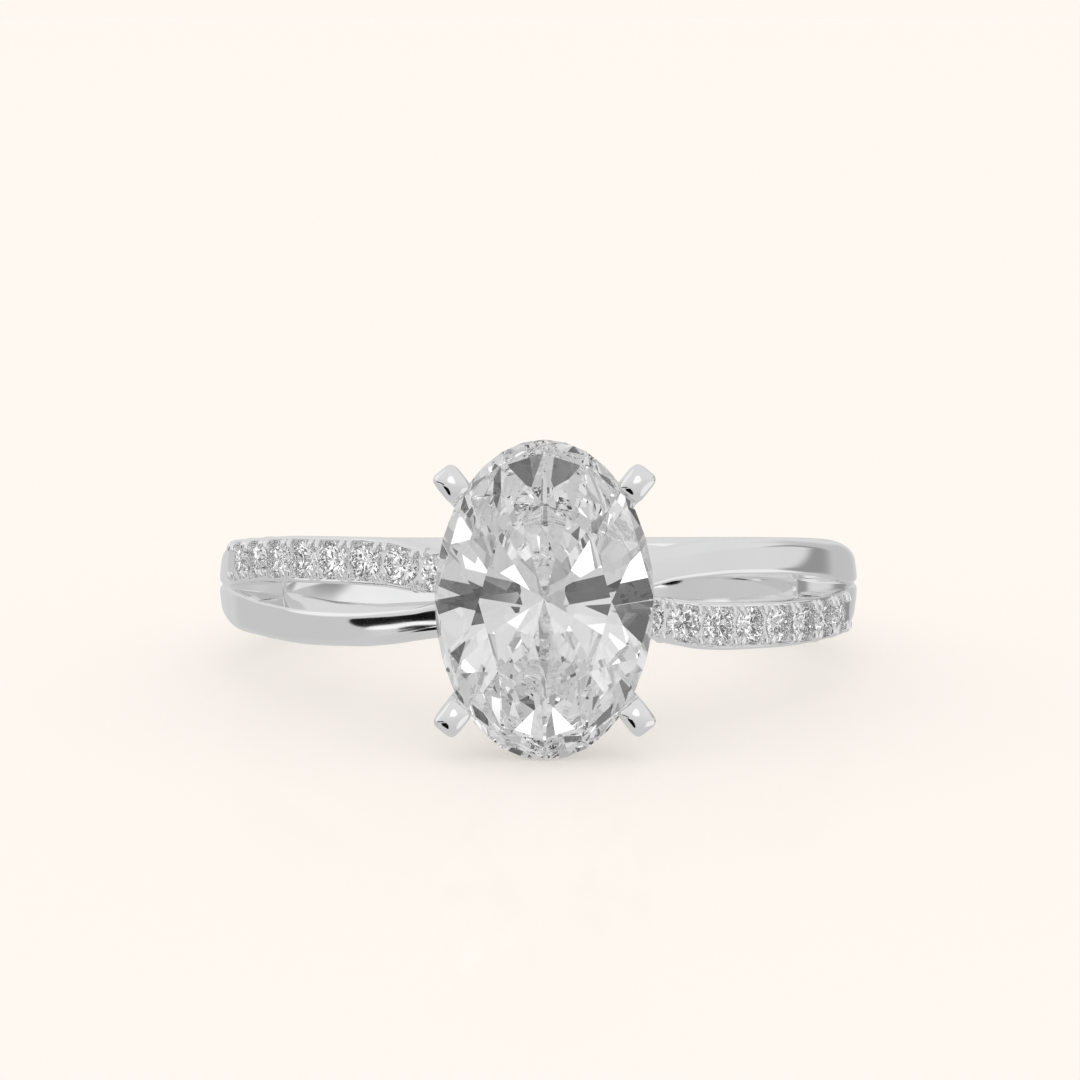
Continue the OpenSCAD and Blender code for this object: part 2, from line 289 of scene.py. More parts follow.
def top_of(side, a, r, lo, reach, stone, sink, dome):
    """Outside of a strand from its inner edge to the start of the outer rounding."""
    inner_rim = lo + RIM_W
    outer_rim = max(reach - RIM_OUTSIDE, inner_rim + CHANNEL_LEAST)
    drop = edge_drop(a)
    shaped = [(r - drop, lo), (r - EDGE_SOFT * EDGE_MID, lo + EDGE_SOFT * EDGE_MID), (r, lo + EDGE_SOFT)]
    shaped += [(r - sink * share, inner_rim + off) for off, share in CHANNEL_FALL]
    floor_in = CHANNEL_FALL[-1][0]
    floor_from, floor_to = inner_rim + floor_in, outer_rim - floor_in
    floor_points = TOP_POINTS - len(shaped) - len(CHANNEL_FALL) - 1
    for k in range(1, floor_points + 1):
        shaped.append((r - sink, mix(floor_from, floor_to, k / (floor_points + 1))))
    shaped += [(r - sink * share, outer_rim - off) for off, share in reversed(CHANNEL_FALL)]
    shaped.append((r, outer_rim + RIM_TOP))
    count = len(shaped)
    plain = []
    for k in range(count):
        u = k / (count - 1)
        z = mix(lo, reach, u ** CROWDING)
        v = (z - lo) / max(reach - lo, LEAST_TOP)
        edge = drop * math.exp(-((z - lo) / EDGE_SOFT) ** EDGE_POWER)
        plain.append((r - dome * v * v - edge, z))
    out = []
    for s, p in zip(shaped, plain):
        z = min(mix(p[1], s[1], stone), reach + TOP_OVER)
        out.append((mix(p[0], s[0], stone), z))
    return out


def strand_section(side, a):
    """Points (radius, height) of one strand. Where the strands are joined, they share the first two."""
    r = strand_r(a)
    lo, hi = edge_in(side, a), edge_out(side, a)
    opened = is_open(a)
    inward = end_r(a)
    hollow = inward > INNER_R
    bore_lo = lo * (SLOPE_STONE if is_stone(side, a) else SLOPE_PLAIN) if opened or hollow else 0.0
    foot_r = INNER_R + BORE_LIP if opened else web_r(a)
    stone = 1 - ease(abs(a), CHANNEL_END) if is_stone(side, a) else 0.0
    sink = CHANNEL_D * stone * ease(abs(a), CHANNEL_START)
    grow = ease(abs(a), ROUND_GROW)
    rounding = mix(STONE_ROUND if is_stone(side, a) else PLAIN_ROUND, BACK_ROUND, grow)
    dome = DOME_D * (1 - stone) * (1 - ease(abs(a), FADE))
    wide, deep = rounding * ARC_WIDE, min(rounding * ARC_DEEP, ARC_LIMIT)
    reach = hi - wide
    top = top_of(side, a, r, lo, reach, stone, sink, dome)
    wall_foot = INNER_R + BORE_LIP

    def side_wall(at_r):
        return at_r, mix(bore_lo, lo, (at_r - wall_foot) / (top[0][0] - wall_foot))

    end_foot, end_top = end_r(SLOT_END), web_r(SLOT_END)
    at_end = opened and abs(a) > (SLOT_START + SLOT_END) / 2
    if at_end:
        points = [side_wall(at_r) for at_r in (end_foot + 2 * EDGE_STEP, end_top, end_top + EDGE_STEP)]
    elif opened:
        points = [side_wall(mix(wall_foot, top[0][0], share)) for share in WALL_SHARES]
    else:
        points = [(inward, 0.0), (foot_r, 0.0)]
        points.append((foot_r, max(lo - FLOOR_SIDE, lo * FLOOR_SHARE)))
    points += top
    edge_r = r - dome
    for k in range(ARC_POINTS + 1):
        turn = math.pi / 2 * k / ARC_POINTS
        points.append((edge_r - deep * (1 - math.cos(turn)), hi - wide * (1 - math.sin(turn))))
    wall_end = INNER_R + COMFORT_H
    points.append((mix(edge_r - deep, wall_end, 0.5), hi - WALL_LEAN * 0.5))

    def bore(z):
        return INNER_R + BORE_DOME * (z / hi) ** 2

    for k in range(ARC_POINTS + 1):
        turn = math.pi / 2 * k / ARC_POINTS
        z = hi - WALL_LEAN - COMFORT_W * (1 - math.cos(turn))
        points.append((bore(z) + (wall_end - bore(z)) * (1 - math.sin(turn)), z))
    bore_end = hi - WALL_LEAN - COMFORT_W
    for k in range(1, BORE_POINTS + 1):
        z = mix(bore_end, bore_lo + BORE_LIP, k / BORE_POINTS)
        points.append((bore(z), z))
    arc = LIP_POINTS - 2 if hollow or at_end else LIP_POINTS + 1
    for k in range(1, LIP_POINTS + 1):
        turn = math.pi / 2 * min(k / arc, 1.0)
        if (opened or hollow) and k <= arc:
            z = bore_lo + BORE_LIP * (1 - math.sin(turn))
            points.append((bore(z) + BORE_LIP * (1 - math.cos(turn)), z))
        elif at_end:
            points.append(side_wall(end_foot + EDGE_STEP * (k - arc - 1)))
        elif hollow:
            points.append((inward, side_wall(inward)[1] * (LIP_POINTS + 1 - k) / 2))
        else:
            z = BORE_LIP * (1 - k / arc)
            points.append((bore(z), z))
    return points


def stations():
    """Angles of the sections: close together over the head and shoulders."""
    count = round(2 * FRONT_END / FRONT_STEP)
    out = [FRONT_STEP * k - FRONT_END for k in range(count + 1)]
    for side in (LEFT, RIGHT):
        out += [side * (SLOT_START + off) for off in AT_START]
        out += [side * (SLOT_END + off) for off in AT_END]
    out += [*BACK_LEFT, *BACK_RIGHT, 180]
    return sorted(set(round(a, 4) for a in out))


def around(r, z, a):
    t = math.radians(a)
    return Vector((r * math.sin(t), -r * math.cos(t), z))


def new_mesh(name, points, faces):
    mesh = bpy.data.meshes.new(name)
    mesh.from_pydata([tuple(p) for p in points], [], faces)
    mesh.validate()
    return mesh


def new_object(name, mesh):
    obj = bpy.data.objects.new(name, mesh)
    bpy.context.scene.collection.objects.link(obj)
    return obj


def band_mesh():
    angles = stations()
    sections = {side: [strand_section(side, a) for a in angles] for side in (UPPER, LOWER)}
    size = len(sections[UPPER][0])
    points, index = [], {}
    for side in (UPPER, LOWER):
        for k, a in enumerate(angles):
            for j, (r, z) in enumerate(sections[side][k]):
                if side == LOWER and j < 2 and not is_open(a):
                    index[side, k, j] = index[UPPER, k, j]
                    continue
                index[side, k, j] = len(points)
                points.append(around(r, side * z, a))
    faces = []
    for side in (UPPER, LOWER):
        for k in range(len(angles)):
            m = (k + 1) % len(angles)
            for j in range(size):
                n = (j + 1) % size
                if j == 0 and not is_open(angles[k]) and not is_open(angles[m]):
                    continue
                quad = [index[side, k, j], index[side, k, n], index[side, m, n], index[side, m, j]]
                faces.append(quad if side == LOWER else quad[::-1])
    return new_mesh("band", points, faces)


def tube_faces(n, count, base=0, loop=False, flip=False):
    """Faces of a skin over rings of n points, closed into a loop or capped at both ends."""
    faces = []
    for k in range(count if loop else count - 1):
        m = (k + 1) % count
        for j in range(n):
            i = (j + 1) % n
            quad = [base + k * n + j, base + m * n + j, base + m * n + i, base + k * n + i]
            faces.append(quad[::-1] if flip else quad)
    if not loop:
        first = [base + j for j in range(n)]
        last = [base + (count - 1) * n + j for j in range(n - 1, -1, -1)]
        faces += [first[::-1], last[::-1]] if flip else [first, last]
    return faces


def skin_mesh(name, rings, loop=False, flip=False):
    points = [p for ring in rings for p in ring]
    return new_mesh(name, points, tube_faces(len(rings[0]), len(rings), loop=loop, flip=flip))


# Turns a shape built on the girdle's plane, Y along the oval and Z to its face, to the front of the ring
AT_HEAD = Matrix.Translation((0, -OVAL_REACH, 0)) @ Matrix.Rotation(math.pi / 2, 4, "X")


def superellipse(w, t, power, count):
    out = []
    for k in range(count):
        turn = 2 * math.pi * (k + 0.5) / count
        c, s = math.cos(turn), math.sin(turn)
        out.append((
            w / 2 * math.copysign(abs(c) ** (2 / power), c),
            t / 2 * math.copysign(abs(s) ** (2 / power), s),
        ))
    return out


# Points round a prong, and how much wider its rounded section is than the solid's
PRONG_SIDES = 48
PRONG_GROW = 1.12
# Squareness of a prong's section along it and at the middle of its tip
PRONG_POWER = 4.2
CUSHION_POWER = 2.1
# Height, shape and rings of the rounded tip, height and rings of the rounded foot, and steps between them
TIP_ROUND = 0.27
TIP_POWER = 2.15
TIP_RINGS = 20
FOOT_ROUND = 0.25
FOOT_RINGS = 8
PRONG_STEPS = 30
# Path of a prong: height over the girdle, way outwards from its place at the girdle, share of its section
PRONG_PATH = [
    (-3.0, -1.81, 0.82),
    (-2.3, -1.55, 0.86),
    (-1.4, -0.9, 0.92),
    (-0.7, -0.35, 0.97),
    (-0.1, 0, 1.0),
    (PRONG_RISE - TIP_ROUND, 0.02, 1.0),
]
# Rails: narrower than the oval along both half axes by the first two, depth under the girdle, wire's radius
RAILS = [(0.62, 0.95, 1.35, 0.32), (1.3, 2.25, 2.65, 0.38)]
RAIL_STEPS = 96
WIRE_SIDES = 24


def prong_rings():
    sin, cos = math.sin(math.radians(PRONG_ANGLE)), math.cos(math.radians(PRONG_ANGLE))
    corner_r = 1 / math.hypot(2 * sin / OVAL_W, 2 * cos / OVAL_L)
    wide, thick = PRONG_W * PRONG_GROW, PRONG_T * PRONG_GROW
    s = corner_r + thick / 2 - PRONG_GRIP
    path = [(h, s + out, share) for h, out, share in PRONG_PATH]
    rings = []

    def add_ring(h, shrink):
        at = smooth_value(path, 1, h)
        share = smooth_value(path, 2, h) * shrink
        outline = superellipse(wide * share, thick * share, PRONG_POWER, PRONG_SIDES)
        rings.append([(x, at + y, h) for x, y in outline])

    foot = path[0][0]
    for k in range(1, FOOT_RINGS):
        turn = math.pi / 2 * k / FOOT_RINGS
        add_ring(foot + FOOT_ROUND * (1 - math.cos(turn)), math.sin(turn))
    for k in range(PRONG_STEPS + 1):
        add_ring(mix(foot + FOOT_ROUND, path[-1][0], k / PRONG_STEPS), 1)
    at = path[-1][1]
    for k in range(1, TIP_RINGS):
        share = math.cos(math.pi / 2 * k / TIP_RINGS)
        h = path[-1][0] + TIP_ROUND * (1 - share ** TIP_POWER) ** (1 / TIP_POWER)
        power = mix(CUSHION_POWER, PRONG_POWER, share ** 2)
        outline = superellipse(wide * share, thick * share, power, PRONG_SIDES)
        rings.append([(x, at + y, h) for x, y in outline])
    return rings


def prong_meshes():
    rings = prong_rings()
    for turn in (PRONG_ANGLE, 180 - PRONG_ANGLE, 180 + PRONG_ANGLE, -PRONG_ANGLE):
        place = AT_HEAD @ Matrix.Rotation(math.radians(-turn), 4, "Z")
        yield skin_mesh("prong", [[place @ Vector(p) for p in ring] for ring in rings], flip=True)


def rail_mesh(rx, ry, depth, wire):
    rings = []
    for k in range(RAIL_STEPS):
        a = 2 * math.pi * k / RAIL_STEPS
        ring = []
        for j in range(WIRE_SIDES):
            b = -2 * math.pi * j / WIRE_SIDES
            ring.append(AT_HEAD @ Vector((
                (rx + wire * math.cos(b)) * math.cos(a),
                (ry + wire * math.cos(b)) * math.sin(a),
                wire * math.sin(b) - depth,
            )))
        rings.append(ring)
    return skin_mesh("rail", rings, loop=True)


def small_place(row, i, shift=0.0):
    """Place of a small stone: its girdle at height 0 and its face away from the finger."""
    a = row * (ROW_START + ROW_STEP * (i - 1)) + shift
    side = -row
    z = side * strand_mid(side, a)
    return (
        Matrix.Rotation(math.radians(a), 4, "Z")
        @ Matrix.Translation((0, SMALL_SINK - OUTER_R, z))
        @ Matrix.Rotation(math.pi / 2, 4, "X")
    )


# Claws: steps along a claw and over its tip, sides, and the points of its middle line as distance along the
# band and across it, height over the girdle and radius
CLAW_STEPS = 12
CLAW_TIP = 6
CLAW_SIDES = 14
CLAW = [
    (0.122, 0.570, -0.24, 0.100),
    (0.122, 0.568, -0.02, 0.100),
    (0.126, 0.545, 0.08, 0.100),
    (0.140, 0.475, 0.160, 0.095),
    (0.172, 0.370, 0.190, 0.080),
]


def claw_mesh(place, along, across):
    rings = []
    line = [Vector((along * p[0], across * p[1], p[2])) for p in CLAW]
    for k in range(CLAW_STEPS + 1):
        u = k / CLAW_STEPS * (len(CLAW) - 1)
        i = min(int(u), len(CLAW) - 2)
        f = u - i
        centre = line[i].lerp(line[i + 1], f)
        ahead = (line[i + 1] - line[i]).normalized()
        radius = mix(CLAW[i][3], CLAW[i + 1][3], f)
        rings.append((centre, ahead, radius))
    tip = rings[-1]
    for k in range(1, CLAW_TIP):
        turn = math.pi / 2 * k / CLAW_TIP
        rings.append((tip[0] + tip[1] * tip[2] * math.sin(turn), tip[1], tip[2] * math.cos(turn)))
    made = []
    for centre, ahead, radius in rings:
        right = ahead.cross(Vector((1, 0, 0))).normalized()
        up = right.cross(ahead).normalized()
        ring = []
        for j in range(CLAW_SIDES):
            b = 2 * math.pi * j / CLAW_SIDES
            ring.append(place @ (centre + right * radius * math.cos(b) + up * radius * math.sin(b)))
        made.append(ring)
    return made


def claws_mesh():
    points, faces = [], []
    for row in (LEFT, RIGHT):
        for i in range(ROW_LEN + 1):
            half = row * ROW_STEP / 2
            shift = half if i else -half
            place = small_place(row, max(i, 1), shift)
            for along in (-1, 1):
                for across in (-1, 1):
                    rings = claw_mesh(place, along, across)
                    faces += tube_faces(CLAW_SIDES, len(rings), base=len(points))
                    points += [p for ring in rings for p in ring]
    return new_mesh("claws", points, faces)


def outward(mesh):
    """Turns the faces of a closed mesh outwards."""
    bm = bmesh.new()
    bm.from_mesh(mesh)
    bmesh.ops.recalc_face_normals(bm, faces=bm.faces[:])
    if bm.calc_volume(signed=True) < 0:
        bmesh.ops.reverse_faces(bm, faces=bm.faces[:])
    bm.to_mesh(mesh)
    bm.free()
    return mesh


def carve(base, tool_mesh, operation):
    """Joins a closed tool to the base, or takes it away, and applies the result."""
    tool = new_object("tool", outward(tool_mesh))
    step = base.modifiers.new("step", "BOOLEAN")
    step.operation = operation
    step.solver = "MANIFOLD"
    step.object = tool
    bpy.context.view_layer.update()
    made = bpy.data.meshes.new_from_object(base.evaluated_get(bpy.context.evaluated_depsgraph_get()))
    base.modifiers.clear()
    old = base.data
    base.data = made
    bpy.data.meshes.remove(old)
    bpy.data.objects.remove(tool)
    bpy.data.meshes.remove(tool_mesh)


# Crown facets of each kind, and the block that a gem is cut from: its height as a share of the gem's
BEZELS = 8
STOCK = 1.1
# Length of the line that sets a cutting plane level, and the sizes under which cuts and edges are dropped
CUT_LINE = 0.2
CUT_FINE = 1e-7
EDGE_FINE = 1e-5


def cut_gem(rx, ry, crown, girdle, pavilion, table, star, tip, mains, sides):
    """A brilliant cut by planes from an elliptic prism: its girdle at height 0, its table at +Z.

    mains is the number of pavilion main facets. The cuts are made at radius 1, then stretched.
    """
    bm = bmesh.new()
    rings = []
    for z in (-girdle / 2 - pavilion * STOCK, girdle / 2 + crown * STOCK):
        rings.append([
            bm.verts.new((math.cos(2 * math.pi * k / sides), math.sin(2 * math.pi * k / sides), z))
            for k in range(sides)
        ])
    for k in range(sides):
        m = (k + 1) % sides
        bm.faces.new((rings[0][k], rings[0][m], rings[1][m], rings[1][k]))
    bm.faces.new(rings[0][::-1])
    bm.faces.new(rings[1])

    def polar(share, turn, z):
        return Vector((share * math.cos(math.radians(turn)), share * math.sin(math.radians(turn)), z))

    def cut(a, b, c, up):
        normal = (b - a).cross(c - a).normalized()
        if normal.z * up < 0:
            normal = -normal
        everything = bm.verts[:] + bm.edges[:] + bm.faces[:]
        bmesh.ops.bisect_plane(
            bm, geom=everything, dist=CUT_FINE, plane_co=a, plane_no=normal, clear_outer=True
        )
        rim = [e for e in bm.edges if e.is_boundary]
        if rim:
            bmesh.ops.holes_fill(bm, edges=rim, sides=0)

    top, low = girdle / 2, -girdle / 2
    step = 360 / BEZELS
    half = step / 2
    cos_half = math.cos(math.radians(half))
    star_z = top + crown * (1 - star * cos_half) / (1 - table)
    cut(Vector((0, 0, top + crown)), Vector((1, 0, top + crown)), Vector((0, 1, top + crown)), 1)
    for k in range(BEZELS):
        turn = step * k
        main_a, main_b = polar(table, turn, top + crown), polar(1, turn, top)
        side = polar(1, turn + 90, 0) * CUT_LINE
        cut(main_a, main_b, main_b + side, 1)
        mid = turn + half
        cut(main_a, polar(table, turn + step, top + crown), polar(star, mid, star_z), 1)
        for edge in (turn, turn + step):
            cut(polar(star, mid, star_z), polar(1, edge, top), polar(1, mid, top), 1)
    wide = 180 / mains
    tip_z = low - pavilion * (1 - tip * math.cos(math.radians(wide)))
    for k in range(mains):
        turn = 360 / mains * k
        edge = polar(1, turn, low)
        cut(Vector((0, 0, low - pavilion)), edge, edge + polar(1, turn + 90, 0) * CUT_LINE, -1)
        mid = turn + wide
        for side in (turn, turn + 2 * wide):
            cut(polar(tip, mid, tip_z), polar(1, side, low), polar(1, mid, low), -1)
    bmesh.ops.dissolve_degenerate(bm, dist=EDGE_FINE, edges=bm.edges[:])
    for v in bm.verts:
        v.co.x *= rx
        v.co.y *= ry
    bmesh.ops.recalc_face_normals(bm, faces=bm.faces[:])
    mesh = bpy.data.meshes.new("gem")
    bm.to_mesh(mesh)
    bm.free()
    return mesh


# The lying ring: the line from the girdle's lower tip to the rim at the back of the band is level
CAD_BACK_ROUND = 0.62
TIP_Y = OVAL_REACH - OVAL_GIRDLE / 2
LAY_TILT = math.atan((OVAL_L - BACK_W) / 2 / (TIP_Y + OUTER_R - CAD_BACK_ROUND))
CENTRE_Z = OVAL_L / 2 * math.cos(LAY_TILT) - TIP_Y * math.sin(LAY_TILT)
TABLE_Y = OVAL_REACH + OVAL_GIRDLE / 2 + OVAL_CROWN
FRONT_Y = TABLE_Y * math.cos(LAY_TILT) + CAD_TABLE * OVAL_L / 2 * math.sin(LAY_TILT)
BACK_Y = OUTER_R * math.cos(LAY_TILT) + (BACK_W / 2 - CAD_BACK_ROUND) * math.sin(LAY_TILT)
CENTRE = Vector((0, (FRONT_Y - BACK_Y) / 2, CENTRE_Z))
LAY = Matrix.Scale(MM, 4) @ Matrix.Translation(CENTRE) @ Matrix.Rotation(-LAY_TILT, 4, "X")


def place_piece(obj, slot, *nodes):
    obj.data.transform(LAY)
    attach(obj, "root")
    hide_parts(*nodes)
    return obj


# Materials
def material(name):
    mat = bpy.data.materials.new(name)
    mat.use_nodes = True
    tree = mat.node_tree
    return mat, tree, tree.nodes["Principled BSDF"]


def noise(tree, scale, detail, stretch=(1, 1, 1)):
    where = tree.nodes.new("ShaderNodeTexCoord")
    turn = tree.nodes.new("ShaderNodeMapping")
    turn.inputs["Scale"].default_value = stretch
    grain = tree.nodes.new("ShaderNodeTexNoise")
    grain.inputs["Scale"].default_value = scale
    grain.inputs["Detail"].default_value = detail
    tree.links.new(where.outputs["Object"], turn.inputs["Vector"])
    tree.links.new(turn.outputs["Vector"], grain.inputs["Vector"])
    return grain.outputs["Fac"]


def ranged(tree, value, low, high, to_low, to_high):
    node = tree.nodes.new("ShaderNodeMapRange")
    node.inputs["From Min"].default_value = low
    node.inputs["From Max"].default_value = high
    node.inputs["To Min"].default_value = to_low
    node.inputs["To Max"].default_value = to_high
    tree.links.new(value, node.inputs["Value"])
    return node.outputs["Result"]


def tone(tree, shader, grain, span, low, high):
    """A base colour that wanders between two greys with a noise."""
    ramp = tree.nodes.new("ShaderNodeValToRGB")
    for stop, position, colour in zip(ramp.color_ramp.elements, span, (low, high)):
        stop.position = position
        stop.color = colour + (1,)
    tree.links.new(grain, ramp.inputs["Fac"])
    tree.links.new(ramp.outputs["Color"], shader.inputs["Base Color"])


# Polished metal: its two tones, its roughness and its fine bumps, with the scale and detail of each noise
NOISE_SPAN = (0.3, 0.7)
GOLD_DARK = (0.88, 0.88, 0.885)
GOLD_LIGHT = (0.92, 0.92, 0.92)
GOLD_TONE = (500, 3)
GOLD_ROUGH = (0.05, 0.09)
GOLD_WEAR = (900, 4)
BUMP_STRENGTH = 0.04
BUMP_DEPTH = 0.00001
BUMP_FINE = (6000, 3)
BUMP_STRETCH = (1, 1, 0.2)


def white_gold():
    mat, tree, shader = material("white_gold_polished")
    shader.inputs["Metallic"].default_value = 1.0
    tone(tree, shader, noise(tree, *GOLD_TONE), NOISE_SPAN, GOLD_DARK, GOLD_LIGHT)
    rough = ranged(tree, noise(tree, *GOLD_WEAR), *NOISE_SPAN, *GOLD_ROUGH)
    tree.links.new(rough, shader.inputs["Roughness"])
    bump = tree.nodes.new("ShaderNodeBump")
    bump.inputs["Strength"].default_value = BUMP_STRENGTH
    bump.inputs["Distance"].default_value = BUMP_DEPTH
    tree.links.new(noise(tree, *BUMP_FINE, BUMP_STRETCH), bump.inputs["Height"])
    tree.links.new(bump.outputs["Normal"], shader.inputs["Normal"])
    return mat


# Stones: span of the noise in their tone, scale and detail of the noises in their tone and their roughness,
# and how far the roughness grows
STONE_SPAN = (0.35, 0.65)
STONE_TONE = (700, 4)
STONE_WEAR = (1500, 3)
ROUGH_GROW = 1.4


def diamond(name, darkest, ior, rough):
    mat, tree, shader = material(name)
    shader.inputs["IOR"].default_value = ior
    shader.inputs["Transmission Weight"].default_value = 1.0
    tone(tree, shader, noise(tree, *STONE_TONE), STONE_SPAN, (darkest,) * 3, (1.0,) * 3)
    shader.inputs["Roughness"].default_value = rough
    if rough:
        wear = ranged(tree, noise(tree, *STONE_WEAR), *NOISE_SPAN, rough, rough * ROUGH_GROW)
        tree.links.new(wear, shader.inputs["Roughness"])
    return mat


WHITE_GOLD = white_gold()
# The oval bends light less than diamond does, so that its facets look as large as in the photo. The small
# stones' slight roughness also tells the studio which light they get.
OVAL_IOR = 2.0
OVAL_DARKEST = 0.985
SMALL_IOR = 2.42
SMALL_DARKEST = 0.98
SMALL_ROUGH = 0.009
DIAMOND = diamond("diamond_oval", OVAL_DARKEST, OVAL_IOR, 0)
SMALL_DIAMOND = diamond("diamond_small", SMALL_DARKEST, SMALL_IOR, SMALL_ROUGH)

# Mounting: an edge turns sharp beyond this angle
SHARP = 32
mounting = new_object("mounting_dressed", outward(band_mesh()))
for less_x, less_y, depth, wire in RAILS:
    carve(mounting, rail_mesh(OVAL_W / 2 - less_x, OVAL_L / 2 - less_y, depth, wire), "UNION")
for prong in prong_meshes():
    carve(mounting, prong, "UNION")

oval_cut = cut_gem(
    OVAL_W / 2 + GAP, OVAL_L / 2 + GAP, OVAL_CROWN, OVAL_GIRDLE + 2 * GAP, OVAL_PAVILION + GAP,
    OVAL_TABLE, OVAL_STAR, OVAL_TIP, OVAL_MAINS, OVAL_SIDES
)
oval_cut.transform(AT_HEAD)
carve(mounting, oval_cut, "DIFFERENCE")


def seats_mesh():
    """Seats of the small stones: a cone below the girdle and a straight hole above it."""
    points, faces = [], []
    r = SMALL_D / 2 + SEAT_GAP
    outline = [(-PAVILION_SHARE * SMALL_D - SEAT_GAP, SEAT_FOOT), (-SEAT_GAP, r), (SEAT_TOP, r)]
    for row in (LEFT, RIGHT):
        for i in range(1, ROW_LEN + 1):
            place = small_place(row, i)
            base = len(points)
            for h, radius in outline:
                for j in range(SEAT_SIDES):
                    b = 2 * math.pi * j / SEAT_SIDES
                    points.append(place @ Vector((radius * math.cos(b), radius * math.sin(b), h)))
            for k in range(len(outline) - 1):
                low, high = base + k * SEAT_SIDES, base + (k + 1) * SEAT_SIDES
                for j in range(SEAT_SIDES):
                    m = (j + 1) % SEAT_SIDES
                    faces.append([low + j, low + m, high + m, high + j])
            faces.append([base + j for j in range(SEAT_SIDES - 1, -1, -1)])
            faces.append([high + j for j in range(SEAT_SIDES)])
    return new_mesh("seats", points, faces)


carve(mounting, seats_mesh(), "DIFFERENCE")
carve(mounting, claws_mesh(), "UNION")
for face in mounting.data.polygons:
    face.use_smooth = True
mounting.data.set_sharp_from_angle(angle=math.radians(SHARP))
mounting.data.materials.clear()
mounting.data.materials.append(WHITE_GOLD)
place_piece(mounting, "white_gold", "mounting")

# Stones
oval = new_object("oval_brilliant", cut_gem(
    OVAL_W / 2, OVAL_L / 2, OVAL_CROWN, OVAL_GIRDLE, OVAL_PAVILION,
    OVAL_TABLE, OVAL_STAR, OVAL_TIP, OVAL_MAINS, OVAL_SIDES
))
oval.data.transform(AT_HEAD)
oval.data.materials.append(DIAMOND)
place_piece(oval, "diamond", "center_stone")
for row, word in ((LEFT, "left"), (RIGHT, "right")):
    for i in range(1, ROW_LEN + 1):
        gem = new_object(f"small_brilliant_{word}_{i}", cut_gem(
            SMALL_D / 2, SMALL_D / 2, CROWN_SHARE * SMALL_D, SMALL_GIRDLE, PAVILION_SHARE * SMALL_D,
            SMALL_TABLE, SMALL_STAR, SMALL_TIP, SMALL_MAINS, SMALL_SIDES
        ))
        gem.data.transform(small_place(row, i))
        gem.data.materials.append(SMALL_DIAMOND)
        place_piece(gem, "diamond", f"pave_{word}_{i}")


# Floor: its colour, which is the background's too, what it reflects and glows, and half its width in metres
CREAM = (0.991, 0.939, 0.877)
FLOOR_BOUNCE = 0.74
FLOOR_GLOW = 0.443
FLOOR_SHINE = 0.04
FLOOR_ROUGH = 0.07
FLOOR_HALF = 20.0


def make_floor():
    half = FLOOR_HALF
    corners = [(-half, -half, 0), (half, -half, 0), (half, half, 0), (-half, half, 0)]
    mesh = new_mesh("floor", corners, [(0, 1, 2, 3)])
    floor = new_object("floor", mesh)
    mat, tree, shader = material("pale_floor")
    shader.inputs["Base Color"].default_value = [c * FLOOR_BOUNCE for c in CREAM] + [1]
    shader.inputs["Roughness"].default_value = 1.0
    shader.inputs["Specular IOR Level"].default_value = 0.0
    shader.inputs["Emission Color"].default_value = CREAM + (1,)
    shader.inputs["Emission Strength"].default_value = FLOOR_GLOW
    shine = tree.nodes.new("ShaderNodeBsdfGlossy")
    shine.inputs["Roughness"].default_value = FLOOR_ROUGH
    both = tree.nodes.new("ShaderNodeMixShader")
    both.inputs["Fac"].default_value = FLOOR_SHINE
    tree.links.new(shader.outputs["BSDF"], both.inputs[1])
    tree.links.new(shine.outputs["BSDF"], both.inputs[2])
    tree.links.new(both.outputs["Shader"], tree.nodes["Material Output"].inputs["Surface"])
    mesh.materials.append(mat)
    floor.visible_glossy = False
    floor.visible_transmission = False


make_floor()

# Light and dark rounded cards: azimuth from the camera's side, half width, elevation and half height, all in
# degrees, then softness and brightness
CARD_POWER = 2.4
METAL_CARDS = [
    (-100, 40, -15, 28, 0.3, 0.61),
    (-86, 19, 28, 28, 0.25, 0.95),
    (69, 36, -22, 20, 0.3, 0.92),
    (138, 22, 0, 34, 0.8, 0.56),
    (110, 18, 6, 20, 0.7, 0.32),
    (84, 33, 8, 10.5, 0.35, 0.74),
    (-50, 20, -4.5, 5, 0.08, 0.005),
    (-45, 17, -9.3, 1.7, 0.2, 1.1),
    (-33, 15, -12, 1.6, 0.15, 0.005),
    (-29, 13, -23, 12, 0.15, 0.005),
    (0, 15, 22, 12, 0.8, 1.2),
]
